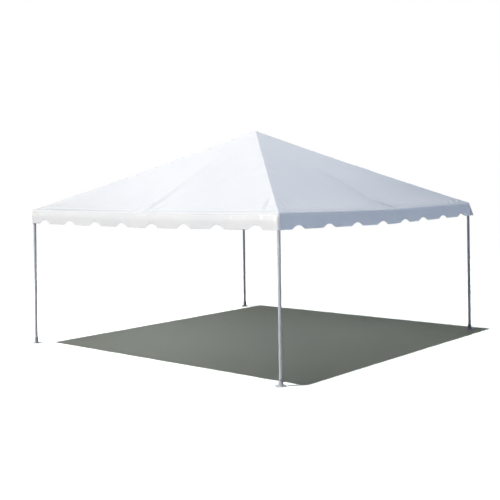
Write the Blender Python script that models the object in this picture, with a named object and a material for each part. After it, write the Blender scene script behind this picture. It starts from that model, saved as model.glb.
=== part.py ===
"""A frame tent 20 ft square: four corner legs, a pipe frame and a white top with scalloped valances.

Metres, +Z up. The origin is on the ground under the peak. The front side faces -Y, the right side +X.
"""

import math

import bmesh
import bpy
from mathutils import Matrix, Vector

INCH = 0.0254
FOOT = 0.3048

# Driving sizes of the tent
SIDE = 20 * FOOT
EAVE_Z = 2.523
CROWN_Z = 3.992
TEE_DROP = {"front": 0.025, "right": 0.042, "back": 0.025, "left": 0.042}
HIP_DROP = 0.020

# Pipes and the sleeves that they plug into
PIPE_RADIUS = 1 * INCH
PIPE_WALL = 0.11 * INCH
FACETS = 20
SLEEVE_RADIUS = 0.029
BORE_RADIUS = 0.026
BALL_RADIUS = 0.0275
GAP = 0.0003

# Where a pipe ends inside a fitting, and where the sleeve ends, both from the fitting's centre
EAVE_SEAT = 0.045
EAVE_REACH = 0.200
LEG_SEAT = 0.045
LEG_REACH = 0.180
HIP_SEAT = 0.080
HIP_REACH = 0.230
CROWN_SEAT = 0.085
CROWN_REACH = 0.235
COUPLER_SEAT = 0.004
COUPLER_REACH = 0.130
BALL_ROOT = 0.003
DRUM_RADIUS = 0.050
DRUM_BELOW = 0.080
DRUM_ABOVE = 0.008
DRUM_ROOT = 0.030

# Base plates
PLATE = 6 * INCH
PLATE_THICK = 0.25 * INCH
PLATE_CORNER = 0.008
SOCKET_HEIGHT = 0.110
STAKE_HOLE_RADIUS = 0.0135
STAKE_HOLE_OUT = 0.080
GUSSET_THICK = 0.006
GUSSET_HEIGHT = 0.080
GUSSET_OUT = 0.041
GUSSET_TOE = 0.004
WELD = 0.001

# The top, whose fabric is modelled thicker than it is
SKIN = 0.004
SKIN_CLEAR = 0.0008
SEAM = 0.0003
SKIN_SAG = 0.018
VALANCE_BELOW = 0.229
ACROSS_NOTCHES = (-2.65, -1.90, -1.17, -0.45, 0.31, 1.06, 1.80, 2.59)
DEEP_NOTCHES = (-2.57, -1.78, -0.99, -0.21, 0.53, 1.17, 1.92, 2.68)
BACK_NOTCHES = (-2.74, -1.96, -1.17, -0.45, 0.31, 1.06, 1.80, 2.59)
LEFT_NOTCHES = (-2.48, -1.62, -0.85, -0.10, 0.65, 1.40, 2.14, 2.78)
NOTCHES = {"front": ACROSS_NOTCHES, "right": DEEP_NOTCHES, "back": BACK_NOTCHES, "left": LEFT_NOTCHES}
NOTCH_HALF = 0.165
NOTCH_HEIGHT = {"front": 0.072, "right": 0.060, "back": 0.072, "left": 0.060}
NOTCH_ROUND = 1.4
NOTCH_STEPS = 8
ROLL_STEPS = 3
ROOF_ROWS = 6
BAY_COLUMNS = 4
PEAK_TIP = 0.0008
SAG_PEAK = 27 / 4

# Worked out from the sizes above
HALF = SIDE / 2 - SLEEVE_RADIUS - SKIN_CLEAR - SKIN
SLOPE = (CROWN_Z - EAVE_Z) / HALF
PITCH = math.atan(SLOPE)
INNER = SLEEVE_RADIUS + SKIN_CLEAR
OUTER = INNER + SKIN

SIDES = ("front", "right", "back", "left")
CORNERS = {
    "front_left": (-1, -1),
    "front_right": (1, -1),
    "back_right": (1, 1),
    "back_left": (-1, 1),
}
FINISHES = {
    "leg_aluminium": ((0.78, 0.79, 0.80), 0.32, 1.0),
    "frame_aluminium": ((0.72, 0.73, 0.74), 0.38, 1.0),
    "galvanised_steel": ((0.58, 0.60, 0.62), 0.50, 1.0),
    "roof_vinyl": ((0.90, 0.91, 0.93), 0.45, 0.0),
    "valance_vinyl": ((0.88, 0.89, 0.91), 0.45, 0.0),
}


def clear_scene():
    for obj in list(bpy.data.objects):
        bpy.data.objects.remove(obj, do_unlink=True)


def finish(name):
    """The material of this name, made on its first use."""
    made = bpy.data.materials.get(name)
    if made:
        return made
    colour, roughness, metallic = FINISHES[name]
    made = bpy.data.materials.new(name)
    made.use_nodes = True
    shader = made.node_tree.nodes["Principled BSDF"]
    shader.inputs["Base Color"].default_value = (*colour, 1.0)
    shader.inputs["Roughness"].default_value = roughness
    shader.inputs["Metallic"].default_value = metallic
    return made


def put(name, bm, material=None):
    """An object of this name that holds the mesh, shaded smooth but for its sharp edges."""
    mesh = bpy.data.meshes.new(name)
    bm.to_mesh(mesh)
    bm.free()
    mesh.shade_smooth()
    mesh.set_sharp_from_angle(angle=math.radians(35))
    obj = bpy.data.objects.new(name, mesh)
    bpy.context.scene.collection.objects.link(obj)
    if material:
        mesh.materials.append(finish(material))
    return obj


def along(origin, direction):
    """The matrix that stands local +Z along a direction, from a point."""
    return Matrix.Translation(origin) @ direction.to_track_quat("Z", "Y").to_matrix().to_4x4()


def rod(name, origin, direction, radius, start, end, material=None):
    """A solid round bar about a line, between two distances from a point on it."""
    bm = bmesh.new()
    bmesh.ops.create_cone(
        bm,
        cap_ends=True,
        segments=FACETS,
        radius1=radius,
        radius2=radius,
        depth=end - start,
        matrix=Matrix.Translation((0, 0, (start + end) / 2)),
    )
    obj = put(name, bm, material)
    obj.matrix_world = along(origin, direction)
    return obj


def pipe(name, first, first_seat, last, last_seat, material):
    """A hollow pipe between two fittings, clear of the bottom of each sleeve."""
    direction = (last - first).normalized()
    length = (last - first).length - first_seat - last_seat - 2 * GAP
    inner = PIPE_RADIUS - PIPE_WALL
    bm = bmesh.new()
    section = ((PIPE_RADIUS, 0), (PIPE_RADIUS, length), (inner, length), (inner, 0))
    wall = [bm.verts.new((r, 0, z)) for r, z in section]
    edges = [bm.edges.new((wall[i], wall[(i + 1) % 4])) for i in range(4)]
    bmesh.ops.spin(
        bm, geom=wall + edges, axis=(0, 0, 1), cent=(0, 0, 0), angle=math.tau, steps=FACETS, use_merge=True
    )
    bmesh.ops.recalc_face_normals(bm, faces=bm.faces)
    obj = put(name, bm, material)
    obj.matrix_world = along(first + direction * (first_seat + GAP), direction)
    return obj


def helper(obj):
    """Marks an object as a tool of a Boolean, which is no piece of its own."""
    obj.hide_render = True
    obj.display_type = "WIRE"
    return obj


def combine(body, operation, tool):
    step = body.modifiers.new(tool.name, "BOOLEAN")
    step.operation = operation
    step.object = helper(tool)


def ball(name, centre, radius):
    bm = bmesh.new()
    bmesh.ops.create_icosphere(bm, subdivisions=2, radius=radius)
    obj = put(name, bm, "galvanised_steel")
    obj.location = centre
    return obj


def fitting(body, centre, arms, root):
    """Sleeves welded to a body round one centre. An arm is the point that it aims at, its seat and its reach."""
    name = body.name
    aims = [((target - centre).normalized(), seat, reach) for target, seat, reach in arms]
    for i, (aim, _, reach) in enumerate(aims):
        combine(body, "UNION", rod(f"{name}_sleeve_{i}", centre, aim, SLEEVE_RADIUS, root, reach))
    for i, (aim, seat, reach) in enumerate(aims):
        bore = rod(f"{name}_bore_{i}", centre, aim, BORE_RADIUS, seat, reach + SLEEVE_RADIUS)
        combine(body, "DIFFERENCE", bore)
    return body


def base_plate(name, foot):
    """A square plate set corner to corner with the tent's sides, with a socket, gussets and stake holes."""
    turn = Matrix.Rotation(math.radians(45), 4, "Z")
    bm = bmesh.new()
    bmesh.ops.create_cube(bm, size=1, matrix=Matrix.Diagonal((PLATE, PLATE, PLATE_THICK, 1)))
    upright = [e for e in bm.edges if abs(e.verts[0].co.z - e.verts[1].co.z) > PLATE_THICK / 2]
    bmesh.ops.bevel(bm, geom=upright, offset=PLATE_CORNER, segments=3, profile=0.5, affect="EDGES")
    body = put(name, bm, "galvanised_steel")
    body.matrix_world = Matrix.Translation(foot + Vector((0, 0, PLATE_THICK / 2))) @ turn
    up = Vector((0, 0, 1))
    combine(body, "UNION", rod(f"{name}_socket", foot, up, SLEEVE_RADIUS, PLATE_THICK / 2, SOCKET_HEIGHT))
    profile = (
        (BORE_RADIUS + WELD, PLATE_THICK / 2),
        (GUSSET_OUT, PLATE_THICK / 2),
        (GUSSET_OUT, PLATE_THICK + GUSSET_TOE),
        (SLEEVE_RADIUS + WELD, GUSSET_HEIGHT),
        (BORE_RADIUS + WELD, GUSSET_HEIGHT),
    )
    for i in range(4):
        bm = bmesh.new()
        section = bm.faces.new([bm.verts.new((r, -GUSSET_THICK / 2, z)) for r, z in profile])
        grown = bmesh.ops.extrude_face_region(bm, geom=[section])["geom"]
        far = [v for v in grown if isinstance(v, bmesh.types.BMVert)]
        bmesh.ops.translate(bm, vec=(0, GUSSET_THICK, 0), verts=far)
        bmesh.ops.recalc_face_normals(bm, faces=bm.faces)
        gusset = put(f"{name}_gusset_{i}", bm)
        gusset.matrix_world = Matrix.Translation(foot) @ Matrix.Rotation(math.radians(45 + 90 * i), 4, "Z")
        combine(body, "UNION", gusset)
    leg_top = SOCKET_HEIGHT + SLEEVE_RADIUS
    combine(body, "DIFFERENCE", rod(f"{name}_bore", foot, up, BORE_RADIUS, PLATE_THICK, leg_top))
    for i in range(4):
        out = Matrix.Rotation(math.radians(90 * i), 4, "Z") @ Vector((STAKE_HOLE_OUT, 0, 0))
        hole = rod(f"{name}_hole_{i}", foot + out, up, STAKE_HOLE_RADIUS, -PLATE_THICK, 2 * PLATE_THICK)
        combine(body, "DIFFERENCE", hole)
    return body


def upper_hip_rafter(name, coupler, lower_end, crown):
    """The pipe to the crown, with the welded sleeve at its foot that takes the lower pipe."""
    uphill = (crown - coupler).normalized()
    downhill = (lower_end - coupler).normalized()
    reach = (crown - coupler).length - CROWN_SEAT - GAP
    body = rod(name, coupler, uphill, PIPE_RADIUS, 0, reach, "frame_aluminium")
    for end, aim in (("sleeve", uphill), ("cup", downhill)):
        part = rod(f"{name}_{end}", coupler, aim, SLEEVE_RADIUS, -COUPLER_SEAT, COUPLER_REACH)
        combine(body, "UNION", part)
    hollow = rod(
        f"{name}_hollow", coupler, uphill, PIPE_RADIUS - PIPE_WALL, COUPLER_SEAT, reach + SLEEVE_RADIUS
    )
    combine(body, "DIFFERENCE", hollow)
    mouth = COUPLER_REACH + SLEEVE_RADIUS
    combine(body, "DIFFERENCE", rod(f"{name}_mouth", coupler, downhill, BORE_RADIUS, COUPLER_SEAT, mouth))
    return body


def eave_height(side, s):
    """The height of the eave beam's centre line, s metres along a side from its middle."""
    return EAVE_Z - TEE_DROP[side] * (1 - min(abs(s) / HALF, 1))


def deck_height(side, s, out):
    """The height of the surface through the pipes' centre lines, out metres from the tent's middle."""
    up = 1 - out / HALF
    across = min(abs(s) / max(out, PEAK_TIP), 1)
    level = min(max(up, 0), 1)
    tee = TEE_DROP[side] * (1 - level) * (1 - across)
    hip = HIP_DROP * (1 - abs(2 * level - 1)) * across
    sag = SKIN_SAG * 4 * across * (1 - across) * SAG_PEAK * level * (1 - level) ** 2
    return EAVE_Z + SLOPE * HALF * up - tee - hip - sag


def closed_sheet(name, outer, inner, faces, material, side):
    """A thick sheet between two like sets of points, its rim closed, turned to its side of the tent."""
    bm = bmesh.new()
    tops = [bm.verts.new(p) for p in outer]
    bottoms = [bm.verts.new(p) for p in inner]
    seen = {}
    for face in faces:
        bm.faces.new([tops[i] for i in face])
        bm.faces.new([bottoms[i] for i in reversed(face)])
        for a, b in zip(face, face[1:] + face[:1]):
            seen[(a, b)] = True
    for a, b in seen:
        if (b, a) not in seen:
            bm.faces.new((tops[b], tops[a], bottoms[a], bottoms[b]))
    bmesh.ops.recalc_face_normals(bm, faces=bm.faces)
    obj = put(name, bm, material)
    obj.rotation_euler.z = math.radians(90 * SIDES.index(side))
    return obj


def roof_panel(side):
    """One slope of the roof, from the eave's roll to the peak, mitred along both hips."""

    def surface(radius):
        foot = HALF + radius * math.sin(PITCH) - SEAM
        points = []
        for row in range(ROOF_ROWS):
            out = foot + (PEAK_TIP - foot) * row / ROOF_ROWS
            for column in range(-BAY_COLUMNS, BAY_COLUMNS + 1):
                s = (out - SEAM / 2) * column / BAY_COLUMNS
                points.append((s, -out, deck_height(side, s, out) + radius / math.cos(PITCH)))
        points.append((0, -PEAK_TIP, deck_height(side, 0, PEAK_TIP) + radius / math.cos(PITCH)))
        return points

    wide = 2 * BAY_COLUMNS + 1
    faces = []
    for row in range(ROOF_ROWS - 1):
        for column in range(wide - 1):
            a = row * wide + column
            faces.append([a, a + 1, a + wide + 1, a + wide])
    last = (ROOF_ROWS - 1) * wide
    faces += [[last + column, last + column + 1, ROOF_ROWS * wide] for column in range(wide - 1)]
    return closed_sheet(f"roof_panel_{side}", surface(OUTER), surface(INNER), faces, "roof_vinyl", side)


def scallops(side, out):
    """The valance's lower edge from corner to corner: distance along the side, and rise above the lobes."""
    reach = out - SEAM / 2
    edge = [(-reach, 0.0)]
    for centre in NOTCHES[side]:
        for step in range(NOTCH_STEPS + 1):
            across = 2 * step / NOTCH_STEPS - 1
            rise = NOTCH_HEIGHT[side] * (1 - across**2) ** NOTCH_ROUND
            edge.append((centre + across * NOTCH_HALF, rise))
    edge.append((reach, 0.0))
    return edge


def valance(side):
    """The strip that rolls over the eave beam and hangs down to a scalloped edge."""

    def surface(radius):
        points = []
        for row in range(ROLL_STEPS + 1):
            lean = (math.pi / 2 - PITCH) * (1 - row / ROLL_STEPS)
            out = HALF + radius * math.cos(lean)
            for s in (-(out - SEAM / 2), 0, out - SEAM / 2):
                points.append((s, -out, eave_height(side, s) + radius * math.sin(lean)))
        for s, rise in scallops(side, HALF + radius):
            points.append((s, -HALF - radius, eave_height(side, s) - VALANCE_BELOW + rise))
        return points

    faces = []
    for row in range(ROLL_STEPS):
        for column in range(2):
            a = row * 3 + column
            faces.append([a + 3, a + 4, a + 1, a])
    hem = ROLL_STEPS * 3
    ends = hem + 3 + len(scallops(side, HALF))
    faces.append(list(range(hem + 3, ends)) + [hem + 2, hem + 1, hem])
    return closed_sheet(f"valance_{side}", surface(OUTER), surface(INNER), faces, "valance_vinyl", side)


def build():
    clear_scene()
    crown = Vector((0, 0, CROWN_Z))
    corner = {name: Vector((x * HALF, y * HALF, EAVE_Z)) for name, (x, y) in CORNERS.items()}
    turns = {side: Matrix.Rotation(math.radians(90 * i), 4, "Z") for i, side in enumerate(SIDES)}
    tee = {side: turns[side] @ Vector((0, -HALF, EAVE_Z - TEE_DROP[side])) for side in SIDES}
    coupler = {name: (at + crown) / 2 - Vector((0, 0, HIP_DROP)) for name, at in corner.items()}
    ends_of = {side: [name for name in corner if side in name.split("_")] for side in SIDES}

    for name, at in corner.items():
        foot = Vector((at.x, at.y, 0))
        base_plate(f"base_plate_{name}", foot)
        pipe(f"leg_{name}", foot, PLATE_THICK, at, LEG_SEAT, "leg_aluminium")
        arms = [(tee[side], EAVE_SEAT, EAVE_REACH) for side in name.split("_")]
        arms += [(foot, LEG_SEAT, LEG_REACH), (coupler[name], HIP_SEAT, HIP_REACH)]
        fitting(ball(f"corner_fitting_{name}", at, BALL_RADIUS), at, arms, BALL_ROOT)
        pipe(f"hip_rafter_lower_{name}", at, HIP_SEAT, coupler[name], COUPLER_SEAT, "frame_aluminium")
        upper_hip_rafter(f"hip_rafter_upper_{name}", coupler[name], at, crown)

    for side in SIDES:
        arms = [(corner[name], EAVE_SEAT, EAVE_REACH) for name in ends_of[side]]
        arms.append((crown, HIP_SEAT, HIP_REACH))
        fitting(ball(f"side_tee_{side}", tee[side], BALL_RADIUS), tee[side], arms, BALL_ROOT)
        for name in ends_of[side]:
            other = next(word for word in name.split("_") if word != side)
            beam = f"eave_beam_{side}_{other}"
            pipe(beam, corner[name], EAVE_SEAT, tee[side], EAVE_SEAT, "frame_aluminium")
        pipe(f"mid_rafter_{side}", tee[side], HIP_SEAT, crown, CROWN_SEAT, "frame_aluminium")
        roof_panel(side)
        valance(side)

    arms = [(coupler[name], CROWN_SEAT, CROWN_REACH) for name in corner]
    arms += [(tee[side], CROWN_SEAT, CROWN_REACH) for side in SIDES]
    up = Vector((0, 0, 1))
    drum = rod("crown_fitting", crown, up, DRUM_RADIUS, -DRUM_BELOW, DRUM_ABOVE, "galvanised_steel")
    fitting(drum, crown, arms, DRUM_ROOT)


build()
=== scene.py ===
"""The looks of the frame tent: its fabric top, its pins and welds, and the finish of each piece."""

import math

import bmesh
import bpy
import numpy as np
from mathutils import Matrix, Vector


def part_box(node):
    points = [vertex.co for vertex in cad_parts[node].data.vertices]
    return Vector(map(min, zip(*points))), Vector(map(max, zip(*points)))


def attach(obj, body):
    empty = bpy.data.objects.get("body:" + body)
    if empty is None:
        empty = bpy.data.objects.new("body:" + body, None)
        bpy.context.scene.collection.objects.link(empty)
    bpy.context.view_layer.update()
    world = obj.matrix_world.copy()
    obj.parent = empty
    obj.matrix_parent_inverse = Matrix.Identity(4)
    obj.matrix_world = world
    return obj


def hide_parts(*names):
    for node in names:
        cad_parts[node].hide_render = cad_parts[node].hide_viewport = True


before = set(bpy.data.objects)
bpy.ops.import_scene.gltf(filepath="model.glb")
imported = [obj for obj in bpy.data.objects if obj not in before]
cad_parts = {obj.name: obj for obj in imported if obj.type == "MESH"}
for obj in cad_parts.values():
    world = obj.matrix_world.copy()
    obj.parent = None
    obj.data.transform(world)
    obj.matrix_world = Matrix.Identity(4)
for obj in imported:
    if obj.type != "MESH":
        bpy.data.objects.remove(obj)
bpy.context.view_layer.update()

SIDES = ("front", "right", "back", "left")
CORNERS = {
    "front_left": (-1, -1),
    "front_right": (1, -1),
    "back_right": (1, 1),
    "back_left": (-1, 1),
}
MIDDLES = {"front": (0, -1), "right": (1, 0), "back": (0, 1), "left": (-1, 0)}

# Sizes read from the frame: how far the legs stand from the middle of the plan, and their radius
LEG_LOW, LEG_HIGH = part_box("leg_front_right")
HALF = (LEG_LOW.x + LEG_HIGH.x) / 2
PIPE = (LEG_HIGH.x - LEG_LOW.x) / 2

# Sizes that the frame was built to
EAVE_Z = 2.523
CROWN_Z = 3.992
TEE_DROP = {"front": 0.025, "right": 0.042, "back": 0.025, "left": 0.042}
HIP_DROP = 0.020
SLEEVE = 0.029
EAVE_REACH = 0.200
LEG_REACH = 0.180
RAFTER_REACH = 0.230
CROWN_REACH = 0.235
COUPLER_REACH = 0.130
SOCKET_HEIGHT = 0.110
PLATE_THICK = 0.25 * 0.0254
GUSSET_OUT = 0.041
GUSSET_THICK = 0.006
SLOPE = (CROWN_Z - EAVE_Z) / HALF
PITCH = math.atan(SLOPE)

# The fabric: how far its outer face is from the axis of a pipe or sleeve, over what stretch it comes off
# each kind of sleeve, how it sags, and how finely its mesh is cut
FABRIC = 0.0008
ON_PIPE = PIPE + 0.0030
ON_SLEEVE = SLEEVE + 0.0030
OFF_SLEEVE = (EAVE_REACH + 0.012, EAVE_REACH + 0.085)
OFF_CROWN = (0.215, 0.300)
OFF_COUPLER = (0.140, 0.230)
SAG = 0.021
SAG_PEAK = 3125 / 256
SAG_LOW = 0.006
CORNER_ROUND = 0.011
ROOF_CELLS = 98
CELL_SPREAD = 3.6
ROLL_ROWS = 7
SKIRT_DEPTHS = (0.008, 0.018, 0.028)
RIPPLE = 0.0018

# The larger folds as the photo shows them on its two near sides, each as start, end, width and height.
# A start or end is metres from the middle of the side and metres in from its eave, in plan.
ACROSS_FOLDS = (
    ((0.10, -0.12), (0.16, 1.00), 0.080, -0.0070),
    ((0.18, -0.12), (0.30, 0.85), 0.200, -0.0100),
    ((0.22, 0.02), (0.40, 0.24), 0.040, 0.0050),
    ((-0.12, 0.02), (-0.34, 0.55), 0.060, 0.0024),
    ((1.93, 0.02), (1.50, 0.33), 0.050, -0.0050),
    ((2.71, 0.05), (2.45, 0.53), 0.032, -0.0085),
    ((2.62, 0.05), (2.34, 0.52), 0.050, 0.0045),
    ((-2.66, 0.05), (-2.40, 0.48), 0.036, -0.0050),
)
DEEP_FOLDS = (
    ((0.09, 0.03), (0.24, 0.13), 0.040, 0.0090),
    ((0.02, 0.12), (0.15, 0.24), 0.040, 0.0080),
    ((0.30, 0.02), (0.20, 0.30), 0.060, -0.0040),
    ((-0.14, 0.02), (-0.30, 0.45), 0.060, -0.0036),
    ((-1.80, 0.02), (-1.87, 0.36), 0.060, -0.0050),
    ((2.62, 0.03), (2.90, 0.14), 0.050, 0.0130),
    ((2.40, 0.03), (2.66, 0.15), 0.048, 0.0120),
    ((2.18, 0.02), (2.40, 0.10), 0.042, 0.0090),
    ((1.96, 0.02), (2.18, 0.09), 0.040, 0.0080),
    ((0.74, 0.02), (0.92, 0.09), 0.036, 0.0070),
    ((2.70, 0.10), (2.44, 0.50), 0.034, -0.0050),
    ((-2.68, 0.05), (-2.42, 0.50), 0.034, -0.0050),
)
FOLDS = {"front": ACROSS_FOLDS, "right": DEEP_FOLDS, "back": ACROSS_FOLDS, "left": DEEP_FOLDS}

# How deep the fabric dips behind the eave beam of each side, off its fittings, and where
DIP = {"front": 0.0075, "right": 0.0042, "back": 0.0075, "left": 0.0042}
DIP_UP = 0.060
DIP_HALF = 0.028

# Where the fabric bunches up on its way over a front or back eave beam
TUCKS = (0.09, 0.83, 2.07, 2.69)
TUCK_HEIGHT = 0.0045
TUCK_HALF = 0.022
SMALL_TUCKS = 11

# How deep and how far to each side the fabric sinks along a hip, between the thicker sleeves
HIP_DENT = 0.0022
HIP_DENT_HALF = 0.02

# Where the fabric's slopes end, and the flat part of each side between its rounded corners
EDGE = HALF + ON_PIPE * math.sin(PITCH)
CORE = EDGE - CORNER_ROUND

# The valances
VALANCE_LAP = 0.006
VALANCE_BELOW = 0.229
LAP_OUT = 0.0012
ACROSS_NOTCHES = (-2.65, -1.90, -1.17, -0.45, 0.31, 1.06, 1.80, 2.59)
DEEP_NOTCHES = (-2.57, -1.78, -0.99, -0.21, 0.53, 1.17, 1.92, 2.68)
BACK_NOTCHES = (-2.74, -1.96, -1.17, -0.45, 0.31, 1.06, 1.80, 2.59)
LEFT_NOTCHES = (-2.48, -1.62, -0.85, -0.10, 0.65, 1.40, 2.14, 2.78)
NOTCHES = {"front": ACROSS_NOTCHES, "right": DEEP_NOTCHES, "back": BACK_NOTCHES, "left": LEFT_NOTCHES}
NOTCH_HALF = 0.165
NOTCH_HEIGHT = {"front": 0.072, "right": 0.060, "back": 0.072, "left": 0.060}
NOTCH_ROUND = 1.4
VALANCE_STEP = 0.0125
VALANCE_ROWS = 12
HEM = 0.016
HEM_STEP = 0.0012
HEM_ROLL = 0.007
SINGLE = 0.45
VALANCE_LEAN = {"front": 0.016, "right": 0.004, "back": 0.016, "left": 0.004}
CORNER_LEAN = 0.012
LEAN_DEPTH = 0.085
FLUTTER = 0.007
CURL = 0.0030

# The end of the back valance that swings out past its corner, how far, and over what length
FLAP_SIDE = "back"
FLAP = 0.070
FLAP_LENGTH = 0.10

# The puckers near each end of a valance, as distance from the end, width and height, and the ends
# where they are this much larger
PUCKERS = ((0.029, 0.011, 0.0065), (0.056, 0.013, -0.0045), (0.090, 0.018, 0.0035))
CRUMPLE = 2.4
CRUMPLED = (("right", 1), ("left", 1))

# How close to a corner two neighbouring valances come together
CORNER_HOLD = 0.030


# Points and heights of the fabric


def smooth(low, high, value):
    """Rises from 0 at low to 1 at high, with no corner at either end."""
    t = np.clip((value - low) / (high - low), 0, 1)
    return t * t * (3 - 2 * t)


def waves(seed, count, longest, shortest):
    """A repeatable field of crossing sine waves of random direction and length, between -1 and 1."""
    rng = np.random.default_rng(seed)
    turns = rng.uniform(0, math.tau, count)
    lengths = rng.uniform(shortest, longest, count)
    phases = rng.uniform(0, math.tau, count)

    def field(x, y):
        total = np.zeros_like(x)
        for turn, length, phase in zip(turns, lengths, phases):
            total += np.sin((x * math.cos(turn) + y * math.sin(turn)) * math.tau / length + phase)
        return total / count

    return field


def crease(along, up, start, end, width, height):
    """A soft fold of this height between two points of a slope, sharp at its start and fading at its end."""
    (a0, u0), (a1, u1) = start, end
    length = math.hypot(a1 - a0, u1 - u0)
    da, du = (a1 - a0) / length, (u1 - u0) / length
    run = (along - a0) * da + (up - u0) * du
    off = (along - a0) * du - (up - u0) * da
    spread = width * (0.45 + 0.55 * np.clip(run / length, 0, 1))
    fade = smooth(-0.35 * width, 0.15 * length, run) * (1 - smooth(0.45 * length, length, run))
    return height * fade * np.exp(-((off / spread) ** 2))


def eave_drop(side_drop, s):
    """How far the eave beam hangs below its corners, s metres from the middle of a side."""
    return side_drop * (1 - np.minimum(np.abs(s) / HALF, 1))


def corner_folds(seed):
    """The folds that fan out of one corner over one slope, each as start, end, width and height."""
    rng = np.random.default_rng(seed)
    folds = []
    for angle, reach, height in (
        (3, 0.75, 0.0034),
        (9, 0.50, -0.0036),
        (15, 0.95, 0.0030),
        (21, 0.45, -0.0038),
        (27, 0.75, 0.0030),
        (34, 0.50, -0.0032),
    ):
        turn = math.radians(angle + rng.uniform(-2.0, 2.0))
        reach *= rng.uniform(0.8, 1.15)
        start = (0.07 * math.cos(turn), 0.07 * math.sin(turn))
        end = (reach * math.cos(turn), reach * math.sin(turn))
        folds.append((start, end, 0.022 + 0.028 * reach, height * rng.uniform(0.7, 1.2)))
    return folds


def on_sleeves(s, up):
    """1 where the fabric lies on the thick sleeves round a fitting, 0 where it lies on the thinner pipes."""
    end = HALF - np.abs(s)
    out = HALF - up
    corner = 1 - smooth(*OFF_SLEEVE, end + 0.30 * up)
    tee = 1 - smooth(*OFF_SLEEVE, np.abs(s) + 0.80 * up)
    crown = 1 - smooth(*OFF_CROWN, out)
    coupler = 1 - smooth(*OFF_COUPLER, np.hypot(out - HALF / 2, np.abs(s) - HALF / 2))
    return np.maximum.reduce([corner, tee, crown, coupler])


def eave_radius(s):
    """How far the fabric's outer face is from the axis of the eave beam."""
    return ON_PIPE + (ON_SLEEVE - ON_PIPE) * on_sleeves(s, np.zeros_like(s))


RIPPLES = waves(seed=5, count=9, longest=1.3, shortest=0.28)


def slope_height(side, s, out):
    """The height of a slope's outer face, s metres along its side and out metres from the peak's axis."""
    up = HALF - out
    level = np.clip(up / HALF, 0, 1)
    across = np.minimum(np.abs(s) / np.maximum(out, 1e-6), 1)
    tee = TEE_DROP[side] * (1 - level) * (1 - across)
    hip = HIP_DROP * (1 - np.abs(2 * level - 1)) * across
    belly = (4 * across * (1 - across)) ** 0.85
    sag = SAG * belly * SAG_PEAK * level * (1 - level) ** 4
    sag += SAG_LOW * belly * smooth(0, 0.12, level) * (1 - smooth(0.2, 0.8, level))
    held = on_sleeves(s, up)
    rest = ON_PIPE + (ON_SLEEVE - ON_PIPE) * held
    height = EAVE_Z + SLOPE * up - tee - hip - sag + rest / math.cos(PITCH)
    height -= DIP[side] * (1 - held) * np.exp(-(((up - DIP_UP) / DIP_HALF) ** 2))
    index = SIDES.index(side)
    for end in (-1, 1):
        for fold in corner_folds(10 * index + end + 1):
            height += crease(HALF - end * s, up, *fold)
    for fold in FOLDS[side]:
        height += crease(s, up, *fold)
    free = smooth(0.02, 0.25, across) * (1 - smooth(0.90, 0.99, across)) * smooth(0.0, 0.10, level)
    height += RIPPLE * free * RIPPLES(s + 7 * index, out)
    # No fold sinks into the eave beam or the sleeves on it
    over_beam = EAVE_Z - eave_drop(TEE_DROP[side], s) + np.sqrt(np.maximum(rest**2 - up**2, 0))
    return np.where(np.abs(up) < rest, np.maximum(height, over_beam), height)


def graded(end, cells, spread):
    """Distances from 0 to end in this many cells, closer together at both ends."""
    middle = (np.arange(cells) + 0.5) / cells
    steps = 1 + (spread - 1) * np.sin(math.pi * middle) ** 2
    return np.concatenate(([0.0], np.cumsum(steps))) * end / steps.sum()


def rounded(x, y):
    """Draws the roof's plan corners in to their radius, and leaves the rest as it is."""
    ax, ay = np.abs(x), np.abs(y)
    dx, dy = np.maximum(ax - CORE, 0), np.maximum(ay - CORE, 0)
    far = np.hypot(dx, dy)
    shrink = np.where(far > 0, np.maximum(dx, dy) / np.maximum(far, 1e-9), 1)
    in_corner = (ax > CORE) & (ay > CORE)
    ax = np.where(in_corner, CORE + dx * shrink, ax)
    ay = np.where(in_corner, CORE + dy * shrink, ay)
    return np.sign(x) * ax, np.sign(y) * ay


def side_frame(x, y):
    """For each plan point, the number of its side, the distance along that side and the distance out."""
    side = np.where(
        np.abs(y) >= np.abs(x),
        np.where(y <= 0, 0, 2),
        np.where(x >= 0, 1, 3),
    )
    s = np.choose(side, [x, y, -x, -y])
    out = np.choose(side, [-y, x, y, -x])
    return side, s, out


def roof_height(x, y):
    """The height of the whole roof's outer face over a plan point."""
    side, s, out = side_frame(x, y)
    height = np.zeros_like(x)
    for index, name in enumerate(SIDES):
        here = side == index
        height[here] = slope_height(name, s[here], out[here])
    return height


# Meshes


def add_mesh(name, points, faces, finish, sharp=None):
    """A smooth-shaded mesh object of these points and faces, with one finish."""
    mesh = bpy.data.meshes.new(name)
    mesh.from_pydata([tuple(p) for p in points], [], faces)
    mesh.update()
    mesh.shade_smooth()
    if sharp:
        mesh.set_sharp_from_angle(angle=math.radians(sharp))
    mesh.materials.append(finish)
    obj = bpy.data.objects.new(name, mesh)
    bpy.context.scene.collection.objects.link(obj)
    return obj


def thicken(obj, thickness, group=None, least=1.0):
    """Gives a sheet its thickness inwards, less where a vertex group is weak."""
    shell = obj.modifiers.new("thickness", "SOLIDIFY")
    shell.thickness = thickness
    shell.offset = -1
    shell.use_even_offset = True
    shell.use_quality_normals = True
    if group:
        shell.vertex_group = group
        shell.thickness_vertex_group = least
    return obj


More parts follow.
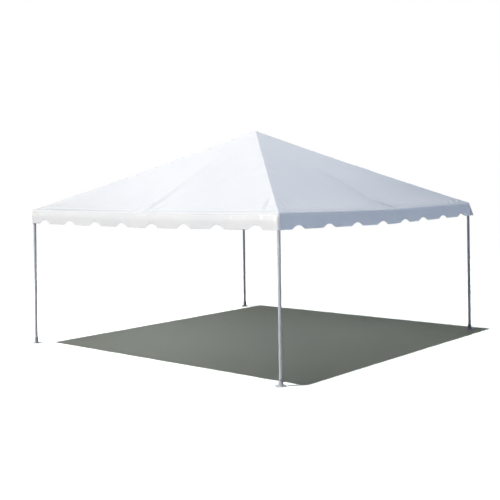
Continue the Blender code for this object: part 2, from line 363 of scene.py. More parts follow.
class Solids:
    """Gathers small closed shapes into one mesh."""

    def __init__(self):
        self.points = []
        self.faces = []

    def add(self, points, faces):
        first = len(self.points)
        self.points += [Vector(p) for p in points]
        self.faces += [[first + i for i in face] for face in faces]

    def tube(self, path, radius, sides=8, closed=False):
        """A round bar along a path of points."""
        path = [Vector(p) for p in path]
        count = len(path)
        rings = []
        normal = None
        for i, point in enumerate(path):
            before = path[i - 1] if closed or i else path[0]
            after = path[(i + 1) % count] if closed or i < count - 1 else path[-1]
            ahead = (after - before).normalized()
            if normal is None:
                normal = ahead.orthogonal().normalized()
            normal = (normal - ahead * normal.dot(ahead)).normalized()
            other = ahead.cross(normal)
            for k in range(sides):
                turn = math.tau * k / sides
                rings.append(point + (normal * math.cos(turn) + other * math.sin(turn)) * radius)
        faces = []
        for i in range(count if closed else count - 1):
            for k in range(sides):
                a, b = i * sides + k, i * sides + (k + 1) % sides
                c, d = (a + sides) % (count * sides), (b + sides) % (count * sides)
                faces.append([a, b, d, c])
        if not closed:
            faces.append(list(reversed(range(sides))))
            faces.append(list(range((count - 1) * sides, count * sides)))
        self.add(rings, faces)

    def turned(self, origin, axis, profile, sides=16):
        """A closed turned shape: profile is its radius at each distance along an axis."""
        turn = axis.to_track_quat("Z", "Y").to_matrix()
        points = []
        for radius, z in profile:
            for k in range(sides):
                angle = math.tau * k / sides
                points.append(origin + turn @ Vector((radius * math.cos(angle), radius * math.sin(angle), z)))
        faces = []
        for i in range(len(profile) - 1):
            for k in range(sides):
                a, b = i * sides + k, i * sides + (k + 1) % sides
                faces.append([a, b, b + sides, a + sides])
        faces.append(list(reversed(range(sides))))
        faces.append(list(range((len(profile) - 1) * sides, len(profile) * sides)))
        self.add(points, faces)

    def made(self, name, finish, slot):
        obj = add_mesh(name, self.points, self.faces, finish, sharp=40)
        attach(obj, "root")
        return obj


# Finishes


class Socket:
    """An output of a shader node that takes part in sums, each of which adds one Math node."""

    def __init__(self, graph, output):
        self.graph = graph
        self.output = output

    def sum(self, operation, first, second):
        return self.graph.node("ShaderNodeMath", {"operation": operation}, {0: first, 1: second})

    def __add__(self, other):
        return self.sum("ADD", self, other)

    def __sub__(self, other):
        return self.sum("SUBTRACT", self, other)

    def __rsub__(self, other):
        return self.sum("SUBTRACT", other, self)

    def __mul__(self, other):
        return self.sum("MULTIPLY", self, other)

    __radd__ = __add__
    __rmul__ = __mul__


class Graph:
    """The shader nodes of a material or of the studio round the tent."""

    def __init__(self, tree):
        self.tree = tree

    def node(self, kind, settings=None, sockets=None, output=0):
        """Adds a node of this kind: its settings first, then the values or links of its sockets."""
        made = self.tree.nodes.new(kind)
        for label, value in (settings or {}).items():
            setattr(made, label, value)
        for label, value in (sockets or {}).items():
            if isinstance(value, Socket):
                self.tree.links.new(value.output, made.inputs[label])
            else:
                made.inputs[label].default_value = value
        return Socket(self, made.outputs[output])

    def end(self, node, label, value):
        """Links a value to a socket of one of the nodes that the graph began with."""
        self.tree.links.new(value.output, self.tree.nodes[node].inputs[label])

    def axes(self, vector):
        """The three parts of a vector."""
        split = self.node("ShaderNodeSeparateXYZ", {}, {0: vector})
        return [Socket(self, out) for out in split.output.node.outputs]

    def scaled(self, vector, scale):
        return self.node("ShaderNodeVectorMath", {"operation": "MULTIPLY"}, {0: vector, 1: scale})

    def length(self, vector):
        return self.node("ShaderNodeVectorMath", {"operation": "LENGTH"}, {0: vector}, output="Value")

    def greater(self, first, second):
        return self.node("ShaderNodeMath", {"operation": "MAXIMUM"}, {0: first, 1: second})

    def threads(self, vector, direction):
        """Fine bands across one axis, for the threads of a weave."""
        settings = {"wave_type": "BANDS", "bands_direction": direction}
        values = {"Vector": vector, "Scale": THREADS, "Distortion": 0.6}
        return self.node("ShaderNodeTexWave", settings, values, output="Fac")

    def noise(self, vector, scale, detail=3.0, rough=0.5):
        values = {"Vector": vector, "Scale": scale, "Detail": detail, "Roughness": rough}
        return self.node("ShaderNodeTexNoise", {}, values)

    def rise(self, value, low, high):
        """0 below low, 1 above high, smooth between."""
        values = {"Value": value, "From Min": low, "From Max": high}
        return self.node("ShaderNodeMapRange", {"interpolation_type": "SMOOTHSTEP"}, values)

    def mix(self, factor, first, second):
        """A blend of two colours."""
        return self.node("ShaderNodeMix", {"data_type": "RGBA"}, {0: factor, 6: first, 7: second}, output=2)

    def drawn_out(self, place, axis):
        """The place with its part along an axis almost taken away, which draws a pattern out along it."""
        along = self.node("ShaderNodeVectorMath", {"operation": "DOT_PRODUCT"}, {0: place, 1: axis}, "Value")
        back = self.node("ShaderNodeVectorMath", {"operation": "SCALE"}, {0: axis, "Scale": along * -DRAWN})
        return self.node("ShaderNodeVectorMath", {"operation": "ADD"}, {0: place, 1: back})

    def crystals(self, vector, feature, output):
        values = {"Vector": vector, "Scale": SPANGLES}
        return self.node("ShaderNodeTexVoronoi", {"feature": feature}, values, output)

    def size(self, value):
        """A value without its sign."""
        return self.node("ShaderNodeMath", {"operation": "ABSOLUTE"}, {0: value})

    def bump(self, height, strength, distance):
        return self.node("ShaderNodeBump", {}, {"Height": height, "Strength": strength, "Distance": distance})


class Finish(Graph):
    """A material in the making, round its one Principled shader."""

    def __init__(self, name, **constants):
        self.material = bpy.data.materials.new(name)
        self.material.use_nodes = True
        super().__init__(self.material.node_tree)
        for label, value in constants.items():
            self.tree.nodes["Principled BSDF"].inputs[label.replace("_", " ")].default_value = value

    def place(self):
        return self.node("ShaderNodeTexCoord", output="Object")

    def set(self, **sockets):
        """Links sockets of the shader, by name with _ for a space, and returns the material."""
        for label, value in sockets.items():
            self.end("Principled BSDF", label.replace("_", " "), value)
        return self.material


def grey(level, warm=0.0):
    return (level * (1 + warm), level, level * (1 - warm), 1.0)


# The roof fabric's two whites, and how much lighter they are on the valances
VINYL_DULL = (0.865, 0.875, 0.890)
VINYL_CLEAN = (0.905, 0.912, 0.922)
VALANCE_LIGHTER = 0.02

# How fine its weave is, and where the doubled bands on the hips and the patch at the peak fade out
THREADS = 90.0
HIP_BAND = (0.026, 0.030)
PEAK_PATCH = (0.236, 0.242)

# How far a pipe's drawing lines are drawn out, and the zinc's crystals a metre
DRAWN = 0.985
SPANGLES = 95.0


def coated_vinyl(name, on_roof):
    """White coated fabric: a faint woven grain, soft clouds of tone, streaks of dust, and welded bands."""
    made = Finish(
        name,
        IOR=1.55,
        Subsurface_Weight=0.12 if on_roof else 0.42,
        Subsurface_Radius=(1.0, 1.0, 1.0),
        Subsurface_Scale=0.0016,
    )
    place = made.place()
    x, y, _ = made.axes(place)
    clouds = made.rise(made.noise(place, 0.55, 4.0, 0.55), 0.35, 0.68)
    flecks = made.noise(place, 9.0, 6.0, 0.62)
    streaks = made.noise(made.scaled(place, (5.0, 5.0, 0.8)), 1.6, 5.0, 0.6)
    dust = made.rise(streaks, 0.50, 0.85) * 0.5 + made.rise(flecks, 0.55, 0.85) * 0.25
    lighter = 0.0 if on_roof else VALANCE_LIGHTER
    dull = (*(part + lighter for part in VINYL_DULL), 1)
    clean = (*(part + lighter for part in VINYL_CLEAN), 1)
    white = made.mix(clouds, dull, clean)
    tone = made.mix(dust * 0.30, white, (0.74, 0.745, 0.735, 1))
    warp = made.threads(place, "X")
    weft = made.threads(place, "Y" if on_roof else "Z")
    grain = (warp + weft) * 0.12 + made.noise(place, 26.0, 4.0, 0.6) * 0.55
    rough = 0.15 + made.noise(place, 3.0, 5.0, 0.6) * 0.07 + dust * 0.08
    if on_roof:
        ridge = made.size(made.size(x) - made.size(y))
        band = 1 - made.rise(ridge, *HIP_BAND)
        from_peak = made.length(made.scaled(place, (1, 1, 0)))
        patch = 1 - made.rise(from_peak, *PEAK_PATCH)
        double = made.greater(band, patch)
        tone = made.mix(double * 0.6, tone, (0.925, 0.93, 0.935, 1))
        grain = grain + double * 1.6
        rough = rough - double * 0.05
    return made.set(Base_Color=tone, Roughness=rough, Normal=made.bump(grain, 0.35, 0.0006))


def drawn_aluminium(name, axis, dark, metal=1.0):
    """Mill-finish pipe with faint drawing lines along its axis, dull patches and a few rubbed marks."""
    made = Finish(name, Metallic=metal)
    place = made.place()
    drawn = made.drawn_out(place, axis)
    lines = made.noise(drawn, 420.0, 3.0, 0.55)
    bands = made.noise(drawn, 60.0, 4.0, 0.6)
    patches = made.rise(made.noise(place, 5.5, 6.0, 0.65), 0.38, 0.70)
    marks = made.rise(made.noise(place, 34.0, 5.0, 0.7), 0.60, 0.72)
    tone = made.mix(patches, grey(0.80 - dark, -0.012), grey(0.68 - dark, 0.0))
    tone = made.mix(marks * 0.45, tone, grey(0.50 - dark, 0.01))
    tone = made.mix(made.rise(bands, 0.40, 0.66) * 0.35, tone, grey(0.88 - dark, -0.01))
    rough = 0.26 + patches * 0.12 + marks * 0.10 + lines * 0.08
    height = lines * 0.7 + bands * 0.5
    return made.set(Base_Color=tone, Roughness=rough, Normal=made.bump(height, 0.25, 0.0004))


def galvanised_steel(name, level, metal):
    """Zinc-dipped steel: a spangle of flat crystals, each its own grey and gloss, and a chalky bloom."""
    made = Finish(name, Metallic=metal)
    place = made.place()
    crystal = made.axes(made.crystals(place, "F1", "Color"))[0]
    edge = made.crystals(place, "DISTANCE_TO_EDGE", "Distance")
    bloom = made.rise(made.noise(place, 14.0, 7.0, 0.68), 0.42, 0.72)
    drips = made.noise(made.scaled(place, (60.0, 60.0, 9.0)), 1.0, 4.0, 0.6)
    tone = made.mix(crystal, grey(level * 0.82, -0.02), grey(level * 1.18, -0.01))
    tone = made.mix(bloom * 0.65, tone, grey(level * 0.92, 0.015))
    tone = made.mix(made.rise(drips, 0.55, 0.8) * 0.35, tone, grey(level * 0.62, 0.03))
    rough = 0.34 + crystal * 0.14 + bloom * 0.22
    height = made.rise(edge, 0.0, 0.08) * 0.5 + bloom * 0.6 + drips * 0.4
    return made.set(Base_Color=tone, Roughness=rough, Normal=made.bump(height, 0.3, 0.0004))


def weld_metal(name):
    """A weld bead: ripples of bright and burnt steel."""
    made = Finish(name, Metallic=1.0)
    place = made.place()
    ripple = made.noise(place, 330.0, 2.0, 0.5)
    burn = made.rise(made.noise(place, 60.0, 4.0, 0.6), 0.40, 0.65)
    tone = made.mix(burn, grey(0.50, -0.01), grey(0.30, 0.04))
    return made.set(Base_Color=tone, Roughness=0.34 + burn * 0.2, Normal=made.bump(ripple, 0.7, 0.0008))


def bright_pin_steel(name):
    """Plated pins and pull rings, rubbed brighter where they slide."""
    made = Finish(name, Metallic=1.0)
    place = made.place()
    rubbed = made.rise(made.noise(place, 120.0, 4.0, 0.6), 0.42, 0.62)
    tone = made.mix(rubbed, (0.58, 0.56, 0.50, 1), (0.80, 0.79, 0.76, 1))
    return made.set(Base_Color=tone, Roughness=0.42 - rubbed * 0.16, Normal=made.bump(rubbed, 0.2, 0.0002))


# The fabric top


def sheet_faces(wide):
    """The triangles of a square grid of points, with diagonals that run towards its middle."""
    faces = []
    for row in range(wide - 1):
        for column in range(wide - 1):
            a = row * wide + column
            b, c, d = a + 1, a + wide + 1, a + wide
            if (row < ROOF_CELLS) == (column < ROOF_CELLS):
                faces += [(a, b, c), (a, c, d)]
            else:
                faces += [(a, b, d), (b, c, d)]
    return faces


def sheet_rim(wide):
    """The outer points of a square grid, once round."""
    last = wide - 1
    rim = list(range(last))
    rim += [row * wide + last for row in range(last)]
    rim += [last * wide + column for column in range(last, 0, -1)]
    rim += [row * wide for row in range(last, 0, -1)]
    return rim


def eave_rows(radius):
    """The rows of fabric round the eave beam and down its skirt: how far out, how far up, how upright."""
    leans = [(math.pi / 2 - PITCH) * (1 - row / ROLL_ROWS) for row in range(1, ROLL_ROWS + 1)]
    rows = [(radius * math.cos(lean), radius * math.sin(lean), math.cos(lean)) for lean in leans]
    rows += [(radius, -depth, 1.0) for depth in SKIRT_DEPTHS]
    return rows


def build_roof(finish):
    """The roof as one continuous sheet over its frame, with its edge rolled over the eave beams."""
    half_line = graded(EDGE, ROOF_CELLS, CELL_SPREAD)
    line = np.concatenate((-half_line[:0:-1], half_line))
    x, y = np.meshgrid(line, line)
    x, y = rounded(x.ravel(), y.ravel())
    z = roof_height(x, y)
    _, s, out = side_frame(x, y)
    free = 1 - on_sleeves(s, HALF - out)
    z -= HIP_DENT * free * (1 - smooth(0.0, HIP_DENT_HALF, np.abs(np.abs(x) - np.abs(y))))
    points = list(zip(x, y, z))
    faces = sheet_faces(len(line))
    ring = sheet_rim(len(line))
    around = len(ring)
    at = np.array([points[i] for i in ring])
    side, s, _ = side_frame(at[:, 0], at[:, 1])
    drop = np.choose(side, [eave_drop(TEE_DROP[name], s) for name in SIDES])
    tucks = eave_tucks(side, s)
    for over, rise, upright in eave_rows(eave_radius(s)):
        px, py = plan_ring(at, side, HALF + over + tucks * upright)
        pz = EAVE_Z - drop + rise + tucks * (1 - upright)
        first = len(points)
        points += list(zip(px, py, pz))
        new = list(range(first, first + around))
        for i in range(around):
            j = (i + 1) % around
            faces.append((ring[i], new[i], new[j], ring[j]))
        ring = new
    return thicken(add_mesh("roof_top", points, faces, finish, sharp=20), FABRIC)


def eave_tucks(side, s):
    """Small upright tucks where the fabric bunches on its way over the eave beam."""
    rng = np.random.default_rng(31)
    total = np.zeros_like(s)
    for index in range(4):
        here = side == index
        tucks = [(centre, TUCK_HALF, TUCK_HEIGHT) for centre in TUCKS if index % 2 == 0]
        for _ in range(SMALL_TUCKS):
            centre = rng.uniform(-0.96, 0.96) * HALF
            width = rng.uniform(0.014, 0.038)
            height = rng.uniform(0.0008, 0.0026)
            tucks.append((centre, width, height))
        for centre, width, height in tucks:
            total += np.where(here, height * np.exp(-(((s - centre) / width) ** 2)), 0)
    return total


def plan_ring(at, side, reach):
    """The plan points of a ring round the tent: as far out as reach, with rounded corners."""
    over = reach - EDGE
    x, y = at[:, 0], at[:, 1]
    dx, dy = np.abs(x) - CORE, np.abs(y) - CORE
    in_corner = (dx > 0) & (dy > 0)
    far = np.maximum(np.hypot(dx, dy), 1e-9)
    nx = np.where(in_corner, dx / far, np.isin(side, (1, 3)).astype(float)) * np.sign(x)
    ny = np.where(in_corner, dy / far, np.isin(side, (0, 2)).astype(float)) * np.sign(y)
    return x + nx * over, y + ny * over


def notch_rise(side, s):
    """How far the valance's lower edge rises above its lobes, s metres from the middle of a side."""
    nearest = np.min([np.abs(s - centre) for centre in NOTCHES[side]], axis=0)
    across = np.minimum(nearest / NOTCH_HALF, 1)
    return NOTCH_HEIGHT[side] * (1 - across**2) ** NOTCH_ROUND


def valance_path():
    """The line that a strip hangs from, to the middle of each corner, as run, s, out and bend."""
    turn = HALF + ON_SLEEVE + LAP_OUT - CORE
    length = 2 * (CORE + turn * math.pi / 4)
    run = np.linspace(-length / 2, length / 2, round(length / VALANCE_STEP) + 1)
    bend = np.clip((np.abs(run) - CORE) / turn, 0, math.pi / 4)
    s = np.sign(run) * (np.minimum(np.abs(run), CORE) + turn * np.sin(bend))
    out = HALF + eave_radius(s) + LAP_OUT - turn * (1 - np.cos(bend))
    return run, s, out, bend


def valance_rows():
    """The rows of a strip: share of its depth, height above its edge, thickness, how far it curls in."""
    rows = [(row / VALANCE_ROWS, 0.0, SINGLE, 0.0) for row in range(VALANCE_ROWS)]
    rows += [(1.0, HEM, SINGLE, 0.0), (1.0, HEM - HEM_STEP, 1.0, 0.0)]
    rows += [(1.0, HEM / 2, 1.0, 0.15 * HEM_ROLL), (1.0, HEM / 4, 1.0, 0.5 * HEM_ROLL)]
    rows += [(1.0, 0.0, 1.0, HEM_ROLL)]
    return rows


def leaned(depth):
    """How much of its lean a strip has at a depth: all of it under the beam, and less at its edge."""
    return smooth(0.0, LEAN_DEPTH, depth) * (1 - 0.35 * smooth(LEAN_DEPTH, VALANCE_BELOW, depth))


def end_puckers(side, run):
    """The puckers near both ends of a strip, larger at the ends that are crumpled."""
    rng = np.random.default_rng(70 + SIDES.index(side))
    total = np.zeros_like(run)
    for end in (-1, 1):
        scale = CRUMPLE if (side, end) in CRUMPLED else 1
        for gap, width, height in PUCKERS:
            gap = (gap + rng.uniform(-0.004, 0.004)) * scale**0.5
            total += scale * height * np.exp(-(((run - end * (run[-1] - gap)) / width) ** 2))
    return total


def build_valance(side, finish):
    """One side's hanging strip, from its lap on the roof's edge to its scalloped and hemmed lower edge."""
    index = SIDES.index(side)
    run, s, out, bend = valance_path()
    lean_s, lean_out = np.sign(run) * np.sin(bend), np.cos(bend)
    tucks = eave_tucks(np.full(len(s), index), s)
    drop = eave_drop(TEE_DROP[side], s)
    sway = waves(80 + index, 7, 1.5, 0.45)(run, run * 0)
    curl = waves(90 + index, 6, 0.42, 0.20)(run, run * 0)
    pucker = end_puckers(side, run)
    from_end = run[-1] - np.abs(run)
    inner = 1 - np.exp(-((from_end / CORNER_HOLD) ** 2))
    flap = np.zeros_like(run)
    if side == FLAP_SIDE:
        flap = np.where(run < 0, -FLAP * np.exp(-((from_end / FLAP_LENGTH) ** 2)), 0)
    full = VALANCE_BELOW - notch_rise(side, s)
    grid = []
    for share, above, weight, curl_in in valance_rows():
        depth = VALANCE_LAP + (full - HEM - VALANCE_LAP) * share if share < 1 else full - above
        free = smooth(0, VALANCE_BELOW, depth)
        push = FLUTTER * sway * free + CURL * curl * free**2
        push += tucks * (1 - 0.9 * smooth(0.02, 0.12, depth))
        push += VALANCE_LEAN[side] * leaned(depth)
        push += pucker * smooth(0.0, 0.03, depth) * (1 - 0.75 * smooth(0.06, 0.20, depth))
        shared = CORNER_LEAN * leaned(depth)
        push = shared + (push - shared) * inner - curl_in
        swing = flap * free**1.3
        grid.append((s + lean_s * push + swing, -(out + lean_out * push), EAVE_Z - drop - depth, weight))
    return valance_mesh(side, grid, finish)


def valance_mesh(side, grid, finish):
    turn = Matrix.Rotation(math.radians(90 * SIDES.index(side)), 3, "Z")
    points = []
    weights = []
    wide = len(grid[0][0])
    for px, py, pz, weight in grid:
        points += [turn @ Vector(p) for p in zip(px, py, pz)]
        weights += [weight] * wide
    faces = []
    for row in range(len(grid) - 1):
        for column in range(wide - 1):
            a = row * wide + column
            faces.append((a + 1, a, a + wide, a + wide + 1))
    strip = add_mesh(f"valance_strip_{side}", points, faces, finish)
    group = strip.vertex_groups.new(name="hem")
    for weight in sorted(set(weights)):
        group.add([i for i, w in enumerate(weights) if w == weight], weight, "REPLACE")
    return thicken(strip, FABRIC * 2, "hem", 0.0)


# Pins and welds


# The radius of a pin, of its pull ring and of the ring's wire, how far a pin is from the end of its sleeve,
# and the radius of the beads between sleeves, round a socket and along a gusset
SHAFT = 0.0048
RING = 0.0150
RING_WIRE = 0.0014
PIN_IN = 0.034
BEAD = 0.0026
SOCKET_BEAD = 0.0028
GUSSET_BEAD = 0.0022


def ring_pin(solids, at, inward, down):
    """A locking pin through a sleeve: its tip is flush outside, and a collar and pull ring show inside."""
    solids.turned(
        at,
        inward,
        (
            (SHAFT * 0.6, -SLEEVE - 0.0005),
            (SHAFT, -SLEEVE + 0.0006),
            (SHAFT, SLEEVE),
            (0.0085, SLEEVE + 0.0004),
            (0.0085, SLEEVE + 0.0040),
            (0.0060, SLEEVE + 0.0052),
            (0.0060, SLEEVE + 0.0130),
            (0.0044, SLEEVE + 0.0145),
        ),
    )
    across = inward.cross(down).normalized()
    centre = at + inward * (SLEEVE + 0.0095) + down * 0.0135
    turns = [math.tau * k / 24 for k in range(24)]
    ring = [centre + (down * math.cos(turn) + across * math.sin(turn)) * RING for turn in turns]
    solids.tube(ring, RING_WIRE, 8, closed=True)


def pins_on(solids, centre, arms):
    """One pin near the end of each sleeve. An arm is its direction, its reach and where its pin faces."""
    for aim, reach, inward in arms:
        inward = (inward - aim * inward.dot(aim)).normalized()
        down = Vector((0, 0, -1)) - inward * -inward.z
        if down.length < 0.2:
            down = aim
        ring_pin(solids, centre + aim * (reach - PIN_IN), inward, down.normalized())


def bead(solids, path):
    """A weld bead along a path, if the path is long enough for one."""
    if len(path) > 2:
        solids.tube(path, BEAD, 6)


def saddle_bead(solids, centre, first, second, others, radius):
    """The weld where two equal sleeves meet, along the plane between them, clear of the other sleeves."""
    normal = (first - second).normalized()
    bisector = (first + second).normalized()
    side = normal.cross(bisector)
    path = []
    for k in range(49):
        turn = math.tau * k / 48
        flat = bisector * math.cos(turn) + side * math.sin(turn)
        off_axis = (flat - first * flat.dot(first)).length
        point = flat * radius / off_axis
        keep = flat.dot(bisector) > 0 and point.length < 0.16
        for axis in others:
            height = point.dot(axis)
            if height > 0 and (point - axis * height).length < radius * 0.99:
                keep = False
        if keep:
            path.append(centre + point)
        else:
            bead(solids, path)
            path = []
    bead(solids, path)


def welds_on(solids, centre, arms):
    aims = [aim for aim, _, _ in arms]
    for i, first in enumerate(aims):
        for j in range(i + 1, len(aims)):
            if first.dot(aims[j]) > -0.95:
                others = [aim for k, aim in enumerate(aims) if k not in (i, j)]
                saddle_bead(solids, centre, first, aims[j], others, SLEEVE)


def build_fittings(pin_finish, weld_finish):
    """Pins and welds at every fitting, gathered into one piece of each kind a fitting."""
    up = Vector((0, 0, 1))
    crown = Vector((0, 0, CROWN_Z))
    tees = {}
    for i, side in enumerate(SIDES):
        turn = Matrix.Rotation(math.radians(90 * i), 3, "Z")
        tees[side] = turn @ Vector((0, -HALF, EAVE_Z - TEE_DROP[side]))
    corners = {name: Vector((x * HALF, y * HALF, EAVE_Z)) for name, (x, y) in CORNERS.items()}
    crown_arms = []
    for name, at in corners.items():
        coupler = (at + crown) / 2 - Vector((0, 0, HIP_DROP))
        inward = Vector((-at.x, -at.y, 0)).normalized()
        uphill = (coupler - at).normalized()
        flat = uphill.cross(up).normalized()
        arms = [((tees[side] - at).normalized(), EAVE_REACH, inward) for side in name.split("_")]
        arms += [(-up, LEG_REACH, inward), (uphill, RAFTER_REACH, flat)]
        fitted(f"corner_{name}", at, arms, pin_finish, weld_finish)
        pins = Solids()
        downhill = (at - coupler).normalized()
        pins_on(pins, coupler, [(downhill, COUPLER_REACH, flat)])
        pins.made(f"pin_hip_{name}", pin_finish, "fitting_steel")
        crown_arms.append(((coupler - crown).normalized(), CROWN_REACH, flat))
        foot(name, Vector((at.x, at.y, 0)), inward, pin_finish, weld_finish)
    for side, at in tees.items():
        inward = Vector((-at.x, -at.y, 0)).normalized()
        uphill = (crown - at).normalized()
        ends = [corners[name] for name in corners if side in name.split("_")]
        arms = [((end - at).normalized(), EAVE_REACH, inward) for end in ends]
        arms.append((uphill, RAFTER_REACH, uphill.cross(up)))
        fitted(f"tee_{side}", at, arms, pin_finish, weld_finish)
        crown_arms.append(((at - crown).normalized(), CROWN_REACH, uphill.cross(up)))
    fitted("crown", crown, crown_arms, pin_finish, weld_finish)


def fitted(name, centre, arms, pin_finish, weld_finish):
    pins = Solids()
    pins_on(pins, centre, arms)
    pins.made(f"pins_{name}", pin_finish, "fitting_steel")
    welds = Solids()
    welds_on(welds, centre, arms)
    welds.made(f"welds_{name}", weld_finish, "fitting_steel")


def foot(name, at, inward, pin_finish, weld_finish):
    """The pin through a base socket, and the beads round the socket and its gussets."""
    up = Vector((0, 0, 1))
    pins = Solids()
    pins_on(pins, at, [(up, SOCKET_HEIGHT + 0.012, inward)])
    pins.made(f"pin_foot_{name}", pin_finish, "base_steel")
    welds = Solids()
    for k in range(4):
        start = math.radians(45 + 90 * k + 9)
        arc = [start + math.radians(72) * i / 12 for i in range(13)]
        ring = [at + Vector((math.cos(a) * SLEEVE, math.sin(a) * SLEEVE, PLATE_THICK)) for a in arc]
        welds.tube(ring, SOCKET_BEAD, 6)
        way = Matrix.Rotation(math.radians(45 + 90 * k), 3, "Z")
        toes = [SLEEVE + 0.001 + (GUSSET_OUT - SLEEVE) * i / 3 for i in range(4)]
        for edge in (-GUSSET_THICK / 2, GUSSET_THICK / 2):
            line = [at + way @ Vector((toe, edge, PLATE_THICK)) for toe in toes]
            welds.tube(line, GUSSET_BEAD, 6)
    welds.made(f"welds_foot_{name}", weld_finish, "base_steel")


# Finishes for the pieces of the frame


def dress_frame():
    """Gives every shown piece of the frame its own finish."""
    crown = Vector((0, 0, CROWN_Z))
    legs = drawn_aluminium("leg_aluminium", (0, 0, 1), 0.0, 0.68)
    beams = {
        "front": drawn_aluminium("beam_aluminium_across", (1, 0, 0), 0.02),
        "right": drawn_aluminium("beam_aluminium_deep", (0, 1, 0), 0.02),
    }
    fittings = galvanised_steel("fitting_steel", 0.58, 1.0)
    plates = galvanised_steel("base_steel", 0.45, 0.65)
    for name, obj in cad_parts.items():
        if name.startswith("leg_"):
            finish = legs
        elif name.startswith("eave_beam_"):
            side = name.split("_")[2]
            finish = beams["front" if side in ("front", "back") else "right"]
        elif "rafter" in name:
            finish = rafter_finish(name, crown)
        elif name.startswith("base_plate_"):
            finish = plates
        else:
            finish = fittings
        for place in obj.material_slots:
            place.material = finish


# The finishes made so far, by the corner or side that a rafter rises from
RAFTER_FINISHES = {}


def rafter_finish(name, crown):
    """The pipe finish along one rafter's own slope, shared by the two lengths of a hip."""
    where = name.replace("hip_rafter_lower_", "").replace("hip_rafter_upper_", "").replace("mid_rafter_", "")
    if where not in RAFTER_FINISHES:
        x, y = {**CORNERS, **MIDDLES}[where]
        axis = (Vector((x * HALF, y * HALF, EAVE_Z)) - crown).normalized()
        RAFTER_FINISHES[where] = drawn_aluminium(f"rafter_aluminium_{where}", tuple(axis), 0.02)
    return RAFTER_FINISHES[where]


# The stage


# The camera: metres, degrees and millimetres
CAMERA_AT = (11.033, -12.834, 2.955)
CAMERA_YAW = 39.44
CAMERA_ROLL = -0.79
LENS = 62.06
SHIFT = (-0.050, -0.1294)

# Where the lamps stand, and their colours
TOP_FROM = (-0.10, -0.12, 0.985)
KEY_FROM = (-0.38, -0.90, 0.17)
NEAR_FROM = (-0.62, -0.75, 0.22)
TOP_LIGHT = (0.44, 0.48, 0.525)
KEY_LIGHT = (0.605, 0.528, 0.40)
FLOOR_LIGHT = (1.45, 1.40, 1.70)
NEAR_LIGHTS = {"leg": (3.2, 3.16, 3.1), "base_plate": (5.6, 5.6, 5.6)}

# The studio round the tent: its fill near the floor and above, and what the gloss mirrors, by height and
# from right to left. Each wall is where it starts, where it is full, and its colour.
FILL_LOW = (0.72, 0.88, 1.15)
FILL_HIGH = (0.02, 0.02, 0.02)
FILL_RISE = (0.15, 0.40)
GLOSS_LOW = (0.035, 0.04, 0.06)
GLOSS_RISE = (0.30, 0.40)
GLOSS_RIGHT = (0.30, 0.35, 0.45)
WALLS = (
    (0.21, 0.37, (1.10, 1.10, 1.17)),
    (0.44, 0.64, (1.50, 1.50, 1.60)),
    (0.75, 0.83, (0.65, 0.62, 0.55)),
)

# The floor: its size, where it fades out, its paint as seen (lighter towards the left as painted light that
# makes the tent's shadow lighter there), and its paint as the fabric and the gloss meet it
FLOOR_REACH = 70.0
FLOOR_DROP = 0.001
FLOOR_FADE = (11.0, 26.0)
FLOOR_SEEN = (0.555, 0.590, 0.490, 1.0)
FLOOR_SEEN_PAINTED_LIGHTER_LEFT = (0.860, 0.900, 0.750, 1.0)
FLOOR_PAINTED_LIGHT_TURN = (-1.3, 4.2)
FLOOR_MIRRORED = grey(0.03)
FLOOR_LIT = (0.216, 0.236, 0.238, 1.0)


def build_floor():
    """A pale round floor that fades into the pale surroundings. As seen, it is painted lighter towards the
    left, a painted light that makes the tent's shadow lighter there.
    """
    bm = bmesh.new()
    bmesh.ops.create_circle(bm, cap_ends=True, segments=64, radius=FLOOR_REACH)
    mesh = bpy.data.meshes.new("floor")
    bm.to_mesh(mesh)
    bm.free()
    floor = bpy.data.objects.new("floor", mesh)
    floor.location.z = -FLOOR_DROP
    bpy.context.scene.collection.objects.link(floor)
    made = Finish("floor_paint", Roughness=0.9, Specular_IOR_Level=0.1)
    place = made.place()
    fade = made.rise(made.length(place), *FLOOR_FADE)
    clear = made.node("ShaderNodeBsdfTransparent")
    paint = Socket(made, made.tree.nodes["Principled BSDF"].outputs[0])
    faded = made.node("ShaderNodeMixShader", {}, {0: fade, 1: paint, 2: clear})
    made.end("Material Output", "Surface", faded)
    seen = made.node("ShaderNodeLightPath", output="Is Camera Ray")
    glossy = made.node("ShaderNodeLightPath", output="Is Glossy Ray")
    across, deep, _ = made.axes(place)
    # Painted light: the floor as seen grows lighter towards the left, so the tent's shadow on it is lighter
    # there
    left = made.rise(-1 * (across + deep), *FLOOR_PAINTED_LIGHT_TURN)
    shown = made.mix(left, FLOOR_SEEN, FLOOR_SEEN_PAINTED_LIGHTER_LEFT)
    made.set(Base_Color=made.mix(seen, made.mix(glossy, FLOOR_LIT, FLOOR_MIRRORED), shown))
    mesh.materials.append(made.material)
    return floor


def lamp(name, towards, light, spread):
    """A soft studio lamp, far away in the direction given."""
    data = bpy.data.lights.new(name, "SUN")
    data.energy = math.pi
    data.color = light
    data.angle = math.radians(spread)
    obj = bpy.data.objects.new(name, data)
    obj.rotation_mode = "QUATERNION"
    obj.rotation_quaternion = Vector(towards).to_track_quat("Z", "Y")
    bpy.context.scene.collection.objects.link(obj)
    return obj


def shine_on(light, objects):
    """Keeps a lamp's light to these objects."""
    lit = bpy.data.collections.new(f"lit_by_{light.name}")
    for obj in objects:
        lit.objects.link(obj)
    light.light_linking.receiver_collection = lit


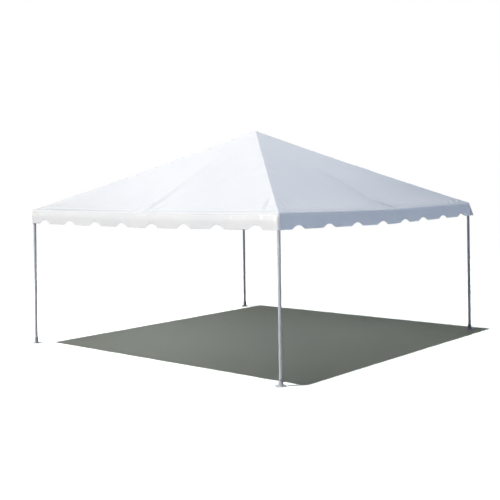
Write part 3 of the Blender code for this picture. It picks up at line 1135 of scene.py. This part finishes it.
def build_lights(floor, fabric):
    """A top lamp, a low key lamp, a soft fill all round, and walls that the gloss of the vinyl mirrors."""
    lamp("top_light", TOP_FROM, TOP_LIGHT, 1)
    shine_on(lamp("key_light", KEY_FROM, KEY_LIGHT, 28), [floor, *fabric])
    shine_on(lamp("floor_light", TOP_FROM, FLOOR_LIGHT, 1), [floor])
    for piece, light in NEAR_LIGHTS.items():
        side_light = lamp(f"{piece}_light", NEAR_FROM, light, 150)
        side_light.visible_glossy = False
        shine_on(side_light, [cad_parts[f"{piece}_front_{side}"] for side in ("left", "right")])
    world = bpy.data.worlds.new("studio")
    world.use_nodes = True
    studio = Graph(world.node_tree)
    x, _, z = studio.axes(studio.node("ShaderNodeTexCoord", output="Generated"))
    wall = (*GLOSS_RIGHT, 1)
    for start, full, colour in WALLS:
        wall = studio.mix(studio.rise(-1 * x, start, full), wall, (*colour, 1))
    mirrored = studio.mix(studio.rise(z, *GLOSS_RISE), (*GLOSS_LOW, 1), wall)
    fill = studio.mix(studio.rise(z, *FILL_RISE), (*FILL_LOW, 1), (*FILL_HIGH, 1))
    glossy = studio.node("ShaderNodeLightPath", output="Is Glossy Ray")
    lit = studio.mix(glossy, fill, mirrored)
    seen = studio.node("ShaderNodeLightPath", output="Is Camera Ray")
    studio.end("Background", "Color", studio.mix(seen, lit, (1, 1, 1, 1)))
    bpy.context.scene.world = world


def build_camera():
    """The camera at the photograph's viewing angle, a little below the middle of the roof and level."""
    data = bpy.data.cameras.new("camera")
    data.lens = LENS
    data.sensor_width = 36
    data.shift_x, data.shift_y = SHIFT
    data.clip_end = 500
    camera = bpy.data.objects.new("camera", data)
    yaw, roll = math.radians(CAMERA_YAW), math.radians(CAMERA_ROLL)
    ahead = Vector((-math.sin(yaw), math.cos(yaw), 0))
    right = Vector((math.cos(yaw), math.sin(yaw), 0))
    up = Vector((0, 0, 1)) * math.cos(roll) - right * math.sin(roll)
    turn = Matrix((up.cross(-ahead), up, -ahead)).transposed().to_4x4()
    camera.matrix_world = Matrix.Translation(CAMERA_AT) @ turn
    bpy.context.scene.collection.objects.link(camera)
    bpy.context.scene.camera = camera


def main():
    build_camera()
    roof = build_roof(coated_vinyl("roof_vinyl", True))
    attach(roof, "root")
    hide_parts(*[f"roof_panel_{side}" for side in SIDES])
    fabric = [roof]
    strip_finish = coated_vinyl("valance_vinyl", False)
    for side in SIDES:
        strip = build_valance(side, strip_finish)
        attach(strip, "root")
        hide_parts(f"valance_{side}")
        fabric.append(strip)
    dress_frame()
    build_fittings(bright_pin_steel("pin_steel"), weld_metal("weld_bead"))
    build_lights(build_floor(), fabric)
    bpy.context.scene.view_settings.view_transform = "Standard"
    bpy.context.scene.view_settings.look = "None"
    # With the light tree on, lamps that shine on chosen objects only give another picture each run
    bpy.context.scene.cycles.use_light_tree = False


main()
